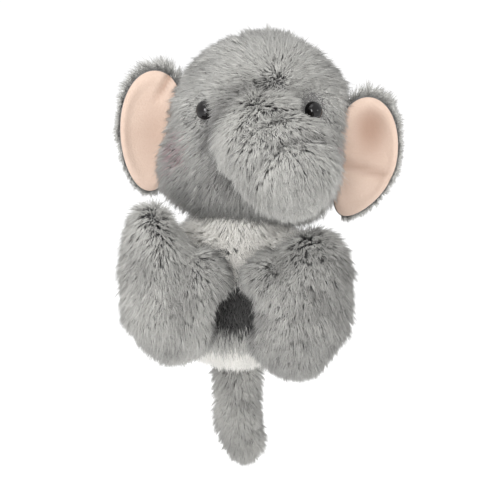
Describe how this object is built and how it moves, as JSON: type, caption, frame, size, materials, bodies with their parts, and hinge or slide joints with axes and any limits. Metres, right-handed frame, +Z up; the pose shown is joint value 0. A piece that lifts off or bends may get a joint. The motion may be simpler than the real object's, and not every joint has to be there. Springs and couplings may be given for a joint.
{
  "type": "plush elephant hand puppet",
  "caption": "Fur-fabric sleeve puppet of a young elephant with a stuffed head, trunk, ears, arms and tail, moved by a hand from behind.",
  "frame": {"origin": "centre of the hand opening, on the rear face of the hem", "axes": "+Z up, -Y the way the face looks, +X to the viewer's right, +Y out of the hand opening"},
  "size_m": [0.1687, 0.1608, 0.2624],
  "materials": {
    "fur_grey": "long soft pile",
    "fur_white": "long soft pile",
    "velour_peach": "short velour pile",
    "lining_grey": "woven",
    "filling_white": "polyester fibre",
    "bead_black": "high gloss",
    "washer_clear": "moulded",
    "tape_white": "woven tape"
  },
  "bodies": {
    "root": {"body_sleeve": "fur_grey", "belly_panel": "fur_white", "sleeve_lining": "lining_grey", "hem_binding": "lining_grey", "care_label": "tape_white"},
    "neck": {"neck_cuff": "fur_grey"},
    "head": {"head_panel_left": "fur_grey", "head_panel_right": "fur_grey", "head_gusset": "fur_grey", "chin_panel": "fur_grey", "head_stuffing": "filling_white", "head_finger_pocket": "lining_grey", "eye_left": "bead_black", "eye_right": "bead_black", "eye_washer_left": "washer_clear", "eye_washer_right": "washer_clear"},
    "trunk": {"trunk_top_panel": "fur_grey", "trunk_under_panel": "fur_grey", "trunk_stuffing": "filling_white"},
    "ear_left": {"ear_back_left": "fur_grey", "ear_inner_left": "velour_peach"},
    "shoulder_left": {"shoulder_cuff_left": "lining_grey"},
    "arm_left": {"arm_outer_panel_left": "fur_grey", "arm_inner_panel_left": "fur_grey", "arm_stuffing_left": "filling_white", "arm_finger_stall_left": "lining_grey"},
    "ear_right": {"ear_back_right": "fur_grey", "ear_inner_right": "velour_peach"},
    "shoulder_right": {"shoulder_cuff_right": "lining_grey"},
    "arm_right": {"arm_outer_panel_right": "fur_grey", "arm_inner_panel_right": "fur_grey", "arm_stuffing_right": "filling_white", "arm_finger_stall_right": "lining_grey"},
    "tail": {"tail_skin": "fur_grey", "tail_stuffing": "filling_white"}
  },
  "joints": [
    {"name": "head_turn", "type": "hinge", "parent": "root", "child": "neck", "pos_m": [0.003, -0.055, 0.05], "axis": [0, 0, 1], "range_deg": [-20, 20], "stiffness_Nm_per_rad": 1},
    {"name": "head_nod", "type": "hinge", "parent": "neck", "child": "head", "pos_m": [0.003, -0.055, 0.05], "axis": [1, 0, 0], "range_deg": [-8, 10], "stiffness_Nm_per_rad": 6},
    {"name": "trunk_lift", "type": "hinge", "parent": "head", "child": "trunk", "pos_m": [0.012, -0.107, 0.101], "axis": [0.9976, 0, -0.0698], "range_deg": [-14, 6], "stiffness_Nm_per_rad": 1.5},
    {"name": "ear_flap_left", "type": "hinge", "parent": "head", "child": "ear_left", "pos_m": [-0.03844, -0.053, 0.09651], "axis": [0.0698, 0, 0.9976], "range_deg": [-18, 18], "stiffness_Nm_per_rad": 0.4},
    {"name": "ear_flap_right", "type": "hinge", "parent": "head", "child": "ear_right", "pos_m": [0.06083, -0.053, 0.08255], "axis": [0.0698, 0, 0.9976], "range_deg": [-18, 18], "stiffness_Nm_per_rad": 0.4},
    {"name": "arm_open_left", "type": "hinge", "parent": "root", "child": "shoulder_left", "pos_m": [-0.03, -0.08286, 0.015], "axis": [0, 0, -1], "range_deg": [0, 45], "stiffness_Nm_per_rad": 1},
    {"name": "arm_raise_left", "type": "hinge", "parent": "shoulder_left", "child": "arm_left", "pos_m": [-0.03, -0.08286, 0.015], "axis": [-1, 0, 0], "range_deg": [-5, 8], "stiffness_Nm_per_rad": 3},
    {"name": "arm_open_right", "type": "hinge", "parent": "root", "child": "shoulder_right", "pos_m": [0.03, -0.08286, 0.015], "axis": [0, 0, 1], "range_deg": [0, 45], "stiffness_Nm_per_rad": 1},
    {"name": "arm_raise_right", "type": "hinge", "parent": "shoulder_right", "child": "arm_right", "pos_m": [0.03, -0.08286, 0.015], "axis": [-1, 0, 0], "range_deg": [-5, 8], "stiffness_Nm_per_rad": 3},
    {"name": "tail_swing", "type": "hinge", "parent": "root", "child": "tail", "pos_m": [0, -0.01, -0.0566], "axis": [0, 1, 0], "range_deg": [-25, 25], "stiffness_Nm_per_rad": 0.3}
  ]
}
